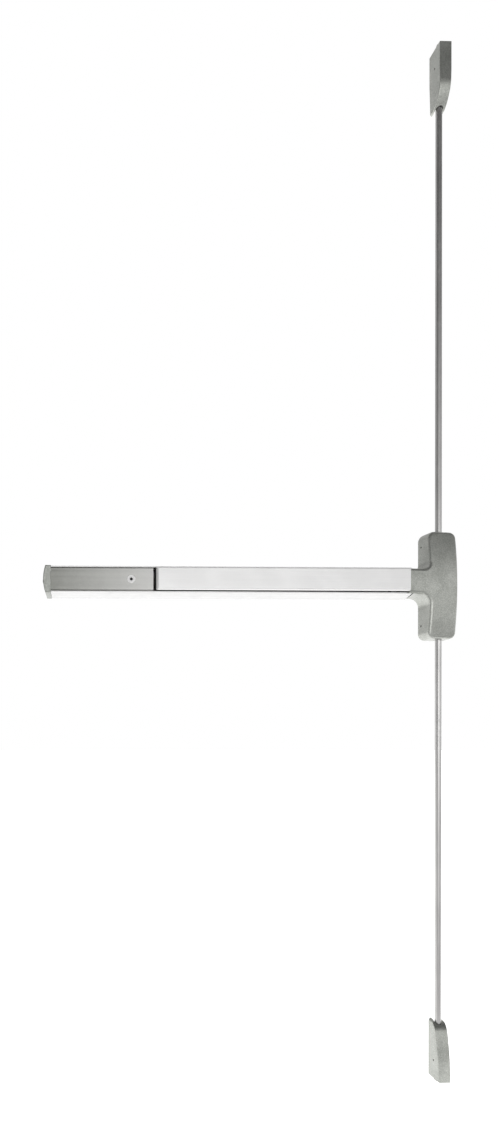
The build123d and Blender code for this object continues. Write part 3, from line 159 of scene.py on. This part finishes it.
class Finish(Network):
    """One material, with the piece's own coordinates in metres as `place`."""

    def __init__(self, name):
        self.material = bpy.data.materials.new(name)
        self.material.use_nodes = True
        super().__init__(self.material.node_tree)
        self.place = self.add("ShaderNodeTexCoord", out="Object")

    def stretched(self, scale):
        """The coordinates, scaled along each axis: a small scale draws a pattern out that way."""
        return self.add("ShaderNodeMapping", {}, {"Vector": self.place, "Scale": scale})

    def cloud(self, size, detail=2.0, roughness=0.5, place=None):
        """Soft noise about 0.5, whose lumps are about `size` metres across."""
        values = {
            "Vector": place or self.place,
            "Scale": 1 / size,
            "Detail": detail,
            "Roughness": roughness,
        }
        return self.add("ShaderNodeTexNoise", {}, values, out="Fac")

    def tint(self, factor, first, second):
        """A colour between two colours."""
        colours = {"Factor": factor, "A": first, "B": second}
        node = self.tree.nodes.new("ShaderNodeMix")
        node.data_type = "RGBA"
        chosen = {s.name: s for s in node.inputs if s.enabled}
        for key, value in colours.items():
            if isinstance(value, Wire):
                self.tree.links.new(value.socket, chosen[key])
            else:
                chosen[key].default_value = value
        return Wire(self, [s for s in node.outputs if s.enabled][0])

    def bump(self, height, depth, normal=None):
        """A normal tilted by a height of 0 to 1, worth `depth` metres."""
        values = {"Height": height, "Distance": depth}
        if normal:
            values["Normal"] = normal
        return self.add("ShaderNodeBump", {}, values, out="Normal")

    def surface(self, **sockets):
        """The shader itself. Underscores in a name stand for spaces."""
        values = {key.replace("_", " "): value for key, value in sockets.items()}
        shader = self.add("ShaderNodeBsdfPrincipled", {}, values)
        self.add("ShaderNodeOutputMaterial", {}, {"Surface": shader})
        return self.material


def grey(value, warmth=0.0):
    """A grey in linear light, with a little more red and less blue as warmth grows."""
    return (value * (1 + warmth), value, value * (1 - warmth), 1.0)


print("the shader helpers are ready")

# %% [markdown]
# ## Cast covers: satin paint over a cast skin
# The centre case, the two latch cases and the end cap are castings. A casting keeps the fine
# pebbling of its mould, and the paint on it is full of tiny metal flakes, so it shows a close
# mottle instead of a mirror. Three noises make it: flakes about a millimetre across, pebbling
# about twice that, and uneven spraying a few centimetres across. The end cap is given darker
# tones, so the two tones of the mottle are given from outside.


# %% The cast covers' finish
RUBBED_CAST = (0.62, 0.63, 0.60, 1)


def make_cast_paint(name, shade, pale):
    """A mottle between a shaded and a pale tone, with lighter patches where it is rubbed."""
    f = Finish(name)
    flakes = f.cloud(0.9 * MM, detail=3.0, roughness=0.65)
    pebbles = f.cloud(2.2 * MM, detail=2.0)
    spraying = f.cloud(45 * MM, detail=2.0)
    mottle = 0.55 * flakes + 0.25 * pebbles + 0.2 * spraying
    colour = f.tint(f.above(mottle, 0.42, 0.58), shade, pale)
    rub = f.above(f.cloud(16 * MM, detail=4.0, roughness=0.7), 0.56, 0.72)
    colour = f.tint(0.25 * rub, colour, RUBBED_CAST)
    peel = f.bump(pebbles, 0.05 * MM)
    normal = f.bump(flakes, 0.03 * MM, normal=peel)
    return f.surface(
        Base_Color=colour,
        Metallic=0.72,
        Roughness=0.27 + 0.14 * flakes - 0.05 * rub,
        Normal=normal,
    )


# %% [markdown]
# ## The channel and its cover: extruded aluminium
# An extrusion comes out of its die with straight, very fine lines along its length. Stretching
# noise a few hundred times along X gives those lines, and a softer set of streaks goes with
# them. Handling leaves smears and specks over both. The cover strip also carries a painted
# reflection: its colour is painted darkest at its free end and paler towards the pad, standing
# in for a broad reflection gradient. The channel behind it is a paler piece with no such change.


# %% The extrusions' finish
COVER_SHADED_X = -0.80
COVER_LIT_X = -0.58
REFLECTION_GREY = 0.92


def make_extrusion(name, shade, pale, painted_reflection_share):
    """Lines, streaks, smears and specks between two tones, with a painted reflection that pales
    along X by a share.
    """
    f = Finish(name)
    lines = f.cloud(1.0, detail=3.0, place=f.stretched((9, 2400, 2400)))
    streaks = f.cloud(1.0, detail=2.0, place=f.stretched((2.5, 160, 160)))
    smear = f.cloud(26 * MM, detail=5.0, roughness=0.65)
    speck = f.cloud(1.6 * MM, detail=3.0, roughness=0.6)
    tone = 0.25 * lines + 0.2 * streaks + 0.3 * smear + 0.25 * speck
    colour = f.tint(f.above(tone, 0.38, 0.62), shade, pale)
    # Painted reflection: the colour pales along X towards the pad, standing in for a broad
    # reflection gradient on the cover.
    painted_reflection = f.above(f.axis(f.place, "X"), COVER_SHADED_X, COVER_LIT_X)
    colour = f.tint(painted_reflection_share * painted_reflection, colour, grey(REFLECTION_GREY, 0.008))
    return f.surface(
        Base_Color=colour,
        Metallic=0.78,
        Roughness=0.30 + 0.14 * lines + 0.08 * smear,
        Normal=f.bump(lines, 0.012 * MM),
    )


# %% [markdown]
# ## The pad: a pale, smooth skin
# The pad is what every hand touches. Its skin is a paler, smoother silver than the castings,
# with a soft gloss. Faint lines run along it, with shinier clouds where hands have polished it.
# The skirts behind its rolled edge are painted near-black: painted shade, so that the gap around
# the pad reads as a dark gap.


# %% The pad's finish
NOSE_END_Y = -56.6 * MM
SKIRT_SHADE_EDGE = 0.3 * MM


def make_pad_skin():
    f = Finish("pad_skin")
    lines = f.cloud(1.0, detail=2.0, place=f.stretched((6, 1500, 1500)))
    grain = f.cloud(0.7 * MM, detail=2.0)
    hands = f.above(f.cloud(70 * MM, detail=4.0, roughness=0.6), 0.45, 0.75)
    tone = 0.5 * lines + 0.3 * grain + 0.2 * hands
    colour = f.tint(f.above(tone, 0.3, 0.7), grey(0.84, 0.004), grey(0.93, 0.004))
    # Painted shade: behind the rolled nose the skirts are painted near-black, so the gap around
    # the pad reads dark.
    skirt_painted_shade = f.above(f.axis(f.place, "Y"), NOSE_END_Y - SKIRT_SHADE_EDGE, NOSE_END_Y + SKIRT_SHADE_EDGE)
    colour = f.tint(skirt_painted_shade, colour, grey(0.02))
    return f.surface(
        Base_Color=colour,
        Metallic=0.28,
        Roughness=0.34 + 0.1 * grain - 0.06 * hands,
        Normal=f.bump(grain, 0.01 * MM, normal=f.bump(lines, 0.01 * MM)),
        Coat_Weight=0.25,
        Coat_Roughness=0.25,
    )


# %% [markdown]
# ## Rods and bolts: drawn bright steel
# A half-inch rod is pulled through a die, which leaves long hairlines, and then polished. On a
# shiny round bar the reflection does the work: a bright band with dark edges. The hairlines
# break that band up a little, and a few dull patches stand for handling.


# %% The bright steel's finish
def make_bright_steel():
    f = Finish("bright_steel")
    hairlines = f.cloud(1.0, detail=3.0, place=f.stretched((2600, 2600, 8)))
    bands = f.cloud(1.0, detail=1.0, place=f.stretched((90, 90, 14)))
    dull = f.above(f.cloud(22 * MM, detail=4.0, roughness=0.65), 0.52, 0.75)
    tone = 0.55 * hairlines + 0.45 * bands
    colour = f.tint(f.above(tone, 0.34, 0.66), grey(0.45, 0.012), grey(0.60, 0.012))
    return f.surface(
        Base_Color=colour,
        Metallic=0.95,
        Roughness=0.30 + 0.10 * hairlines + 0.10 * dull,
        Normal=f.bump(hairlines, 0.01 * MM),
    )


# %% [markdown]
# ## The key bushing and its screw: satin nickel
# The bushing that guides the key, and the screw that the key turns, are turned on a lathe and
# nickel plated, so their faces carry fine rings about one axis. Noise that is fed the distance
# from that axis, and nothing else, draws them. Within the socket's radius the colour is painted
# near-black: painted shade in the hex socket.


# %% The key bushing's finish
SOCKET_RADIUS = 2.9 * MM
SOCKET_SHADE_EDGE = 0.4 * MM


def make_ring_nickel(centre):
    """Rings at radius = square root of (x * x + z * z), measured from a centre."""
    f = Finish("ring_nickel")
    x = f.axis(f.place, "X") - centre[0]
    z = f.axis(f.place, "Z") - centre[2]
    radius = (x * x + z * z) ** 0.5
    along = f.add("ShaderNodeCombineXYZ", {}, {"X": radius})
    rings = f.cloud(0.25 * MM, detail=3.0, place=along)
    wipe = f.cloud(6 * MM, detail=3.0)
    colour = f.tint(0.6 * rings + 0.4 * wipe, grey(0.86, 0.004), grey(0.97, 0.004))
    # Painted shade: inside the socket's radius the colour turns near-black, standing in for the
    # shade in the hex recess.
    socket = f.above(radius, SOCKET_RADIUS + SOCKET_SHADE_EDGE, SOCKET_RADIUS)
    return f.surface(
        Base_Color=f.tint(socket, colour, grey(0.012)),
        Metallic=0.0,
        Roughness=0.34 + 0.12 * wipe,
        Normal=f.bump(rings, 0.01 * MM),
    )


# %% [markdown]
# ## Hidden iron: zinc plating, oiled steel and black plastic
# Inside, the levers and brackets are pressed steel with zinc plating, whose crystals leave a
# cloudy patchwork. Screws and springs are dark oiled steel. The guides and carriers are black
# moulded plastic with a fine spark-eroded grain. They show from the back and in the gaps.


# %% The hidden pieces' finishes
CRYSTAL_SIZE = 1 / 140


def make_plated_steel():
    f = Finish("plated_steel")
    crystals = {"Vector": f.place, "Scale": 1 / CRYSTAL_SIZE}
    spangle = f.add("ShaderNodeTexVoronoi", {"feature": "F1"}, crystals, out="Distance")
    haze = f.cloud(9 * MM, detail=4.0, roughness=0.6)
    rolling = f.cloud(1.0, detail=2.0, place=f.stretched((500, 500, 40)))
    tone = 0.35 * spangle + 0.4 * haze + 0.25 * rolling
    colour = f.tint(f.above(tone, 0.25, 0.6), (0.46, 0.45, 0.41, 1), (0.63, 0.62, 0.60, 1))
    return f.surface(
        Base_Color=colour,
        Metallic=0.9,
        Roughness=0.30 + 0.22 * haze,
        Normal=f.bump(rolling, 0.02 * MM),
    )


def make_dark_steel():
    f = Finish("dark_steel")
    oil = f.cloud(2.5 * MM, detail=4.0, roughness=0.65)
    turning = f.cloud(0.5 * MM, detail=2.0)
    worn = f.above(oil, 0.55, 0.72)
    colour = f.tint(worn, grey(0.07, 0.02), grey(0.24, 0.03))
    return f.surface(
        Base_Color=colour,
        Metallic=0.9,
        Roughness=0.34 + 0.2 * turning,
        Normal=f.bump(turning, 0.02 * MM),
    )


def make_black_plastic():
    f = Finish("black_plastic")
    eroded = f.cloud(0.45 * MM, detail=2.0)
    flow = f.cloud(18 * MM, detail=3.0)
    colour = f.tint(flow, grey(0.014), grey(0.032))
    return f.surface(
        Base_Color=colour,
        Roughness=0.46 + 0.16 * eroded + 0.08 * flow,
        Normal=f.bump(eroded, 0.04 * MM),
    )


FINISHES = {
    "satin_cast": make_cast_paint(
        "satin_cast", (0.30, 0.31, 0.284, 1), (0.54, 0.55, 0.516, 1)
    ),
    "satin_aluminium": make_extrusion(
        "satin_aluminium", (0.20, 0.203, 0.188, 1), (0.31, 0.313, 0.293, 1), 0.40
    ),
    "pad_skin": make_pad_skin(),
    "bright_steel": make_bright_steel(),
    "plated_steel": make_plated_steel(),
    "dark_steel": make_dark_steel(),
    "black_plastic": make_black_plastic(),
}
print("finishes:", ", ".join(FINISHES))

# %% [markdown]
# ## Dressing the parts
# Each loaded part names its material slot in the record, so one loop dresses them all. Four
# parts have a finish of their own, which comes before their slot's. The meshes stay as they
# are: only the material slots change.

# %% Dress the loaded parts
bushing_low, bushing_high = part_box("dogging_bushing")
key_nickel = make_ring_nickel((bushing_low + bushing_high) / 2)
OWN_FINISH = {
    "dogging_bushing": key_nickel,
    "dogging_screw": key_nickel,
    "end_cap": make_cast_paint("cap_cast", (0.23, 0.24, 0.22, 1), (0.36, 0.37, 0.345, 1)),
    "mounting_channel": make_extrusion(
        "channel_aluminium", grey(0.58, 0.004), grey(0.74, 0.004), 0
    ),
}
for node_name, node in NODES.items():
    node.data.materials.clear()
    node.data.materials.append(OWN_FINISH.get(node_name) or FINISHES[SLOT_OF[node_name]])
print("dressed:", len(NODES))

# %% [markdown]
# ## The slide springs
# A coil spring on each rod slide pushes the rod outwards; when the pad is pressed, the rod moves
# towards the case and the spring shortens. Here each coil is wound once to fill its spring's box
# and is held by the housing.

# %% Wind the springs
SPRING_WIRE = 0.7 * MM
SPRING_TURNS = 7
STEPS_PER_TURN = 28
WIRE_SIDES = 12


def coil(low, high):
    """A wire round a helix that fills a box.

    At t from 0 to 1 the helix is at radius * (cos a, sin a) and at height t, with a going round
    once a turn. The wire's circle lies in the plane of the radius and of the helix's own normal:
    wire * (cos v * outwards + sin v * normal).
    """
    centre = (np.array(low) + np.array(high)) / 2
    radius = (high[0] - low[0]) / 2 - SPRING_WIRE
    rise = high[2] - low[2] - 2 * SPRING_WIRE
    t = np.linspace(0, 1, SPRING_TURNS * STEPS_PER_TURN + 1)
    a = 2 * np.pi * SPRING_TURNS * t
    v = np.linspace(0, 2 * np.pi, WIRE_SIDES, endpoint=False)
    outwards = np.stack([np.cos(a), np.sin(a), 0 * a], axis=1)
    along = np.stack([-radius * np.sin(a), radius * np.cos(a), 0 * a], axis=1)
    along[:, 2] = rise / (2 * np.pi * SPRING_TURNS)
    along /= np.linalg.norm(along, axis=1, keepdims=True)
    normal = np.cross(along, outwards)
    path = radius * outwards + centre
    path[:, 2] = low[2] + SPRING_WIRE + rise * t
    across = np.cos(v)[None, :, None] * outwards[:, None]
    ring = across + np.sin(v)[None, :, None] * normal[:, None]
    points = (path[:, None] + SPRING_WIRE * ring).reshape(-1, 3)
    row, side = np.meshgrid(np.arange(len(t) - 1), np.arange(WIRE_SIDES), indexing="ij")
    first = row * WIRE_SIDES + side
    beside = row * WIRE_SIDES + (side + 1) % WIRE_SIDES
    quads = np.stack([first, beside, beside + WIRE_SIDES, first + WIRE_SIDES], axis=-1)
    start_cap = tuple(range(WIRE_SIDES))[::-1]
    end_cap = tuple(range(len(points) - WIRE_SIDES, len(points)))
    return points, quads.reshape(-1, 4).tolist() + [start_cap, end_cap]


for side_name, fixed_end in (("upper", 0), ("lower", 1)):
    spring_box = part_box(f"{side_name}_slide_spring")
    spring_points, spring_faces = coil(*spring_box)
    mesh = bpy.data.meshes.new(f"{side_name}_spring_coil")
    mesh.from_pydata(spring_points.tolist(), [], spring_faces)
    mesh.polygons.foreach_set("use_smooth", [len(face) == 4 for face in spring_faces])
    mesh.materials.append(FINISHES["dark_steel"])
    spring = bpy.data.objects.new(f"{side_name}_spring_coil", mesh)
    bpy.context.scene.collection.objects.link(spring)
    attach(spring, "housing")
    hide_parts(f"{side_name}_slide_spring")
    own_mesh(spring)

# %% [markdown]
# ## Camera
# The bar is seen from in front and from the left, low down, through a wide lens that is shifted
# towards the centre case. The shift keeps the rods upright and parallel to the picture's edge,
# as a view camera does for a tall building.

# %% Place the camera
CAMERA_PLACE = (-0.733, -1.436, -0.272)
CAMERA_DIP = 0.14
CAMERA_TURN = -1.49
camera_data = bpy.data.cameras.new("camera")
camera_data.lens = 22.22
camera_data.sensor_width = 36.0
camera_data.shift_x = 0.13
camera_data.shift_y = 0.1373
camera = bpy.data.objects.new("camera", camera_data)
camera.location = CAMERA_PLACE
camera.rotation_euler = (math.radians(90 - CAMERA_DIP), 0.0, math.radians(CAMERA_TURN))
bpy.context.scene.collection.objects.link(camera)
bpy.context.scene.camera = camera
print("camera at", tuple(round(c, 3) for c in camera.location))

# %% [markdown]
# ## Floor and light
# The floor is a plain pale sheet below the bottom bolt. It glows behind the bar, so that it is
# as white as the surround, and fades to a light grey in front. The light is a soft studio. In
# front, the surround is bright at eye level and dim above, so that the domed covers grade from
# dark at their tops to light at their feet. It is dimmer to the left, which darkens the left
# corners of the castings, and bright behind, which lights their sides. One broad, weak lamp
# stands in front.

# %% Make the floor
low_corner, high_corner = CAD_BOX
FLOOR_HALF = 14.0
FLOOR_DROP = 0.03
FLOOR_DIM_Y = -0.42
FLOOR_LIT_Y = -0.10
FLOOR_GLOW = 1.1
FLOOR_FRONT_SHARE = 0.14
floor_z = low_corner.z - FLOOR_DROP
floor_mesh = bpy.data.meshes.new("floor")
corners = np.array([(-1, -1), (1, -1), (1, 1), (-1, 1)], float) * FLOOR_HALF
floor_mesh.from_pydata([(x, y, floor_z) for x, y in corners], [], [(0, 1, 2, 3)])
floor = bpy.data.objects.new("floor", floor_mesh)
bpy.context.scene.collection.objects.link(floor)


def make_floor_paint():
    f = Finish("floor_paint")
    wash = f.cloud(0.8, detail=2.0)
    colour = f.tint(wash, grey(0.90), grey(0.94))
    depth = f.axis(f.place, "Y")
    behind = f.above(depth, FLOOR_DIM_Y, FLOOR_LIT_Y)
    glow = f.tint(behind, grey(FLOOR_FRONT_SHARE), grey(1.0))
    return f.surface(
        Base_Color=colour, Roughness=0.8, Emission_Color=glow, Emission_Strength=FLOOR_GLOW
    )


floor_mesh.materials.append(make_floor_paint())

# %% Light the scene
world = bpy.data.worlds.new("studio")
bpy.context.scene.world = world
world.use_nodes = True
sky = Network(world.node_tree)
GAP_DEPTH = 0.7
GAP_EDGE = (0.45, 0.75)
BACK_EDGE = (-0.20, 0.25)
FRONT_LEVEL = 1.5
BACK_LEVEL = 1.35
FRONT_STOPS = (
    (0.0, 0.22), (0.26, 0.26), (0.38, 0.80), (0.46, 1.0), (0.56, 0.98),
    (0.62, 0.74), (0.69, 0.32), (0.78, 0.09), (1.0, 0.06),
)
BACK_STOPS = ((0.0, 1.0), (0.53, 1.0), (0.60, 0.42), (0.66, 0.42), (0.80, 0.62), (1.0, 0.60))
toward = sky.add("ShaderNodeTexCoord", out="Generated")
to_right, to_back, to_top = (sky.axis(toward, letter) for letter in "XYZ")
rising = sky.above(to_top, -1.0, 1.0)
in_front = sky.steps(rising, FRONT_STOPS)
from_behind = sky.steps(rising, BACK_STOPS)
behind = sky.above(to_back, *BACK_EDGE)
gap = sky.above(-1 * to_right, *GAP_EDGE)
level = FRONT_LEVEL * in_front * (1 - GAP_DEPTH * gap) * (1 - behind)
level = level + BACK_LEVEL * from_behind * behind
lit = sky.add("ShaderNodeBackground", {}, {"Strength": level})
seen = sky.add("ShaderNodeBackground", {}, {"Color": grey(1.0), "Strength": 1.0})
is_seen = sky.add("ShaderNodeLightPath", out="Is Camera Ray")
both = sky.add("ShaderNodeMixShader", {}, {0: is_seen, 1: lit, 2: seen})
sky.add("ShaderNodeOutputWorld", {}, {"Surface": both})


def soft_lamp(name, place, target, size, power):
    """A rectangular area lamp, turned to face a point."""
    data = bpy.data.lights.new(name, "AREA")
    data.shape = "RECTANGLE"
    data.size, data.size_y = size
    data.energy = power
    lamp = bpy.data.objects.new(name, data)
    lamp.location = place
    way = np.array(target, float) - np.array(place, float)
    lamp.rotation_euler = (
        math.atan2(math.hypot(way[0], way[1]), -way[2]), 0.0, math.atan2(-way[0], way[1])
    )
    bpy.context.scene.collection.objects.link(lamp)


soft_lamp("low_lamp", (-0.4, -3.2, -0.2), (-0.4, 0, 0), (3.0, 1.6), 20)
bpy.context.scene.view_settings.view_transform = "Standard"
print("surround, lamp and floor are set; the floor is at", round(floor_z, 3))
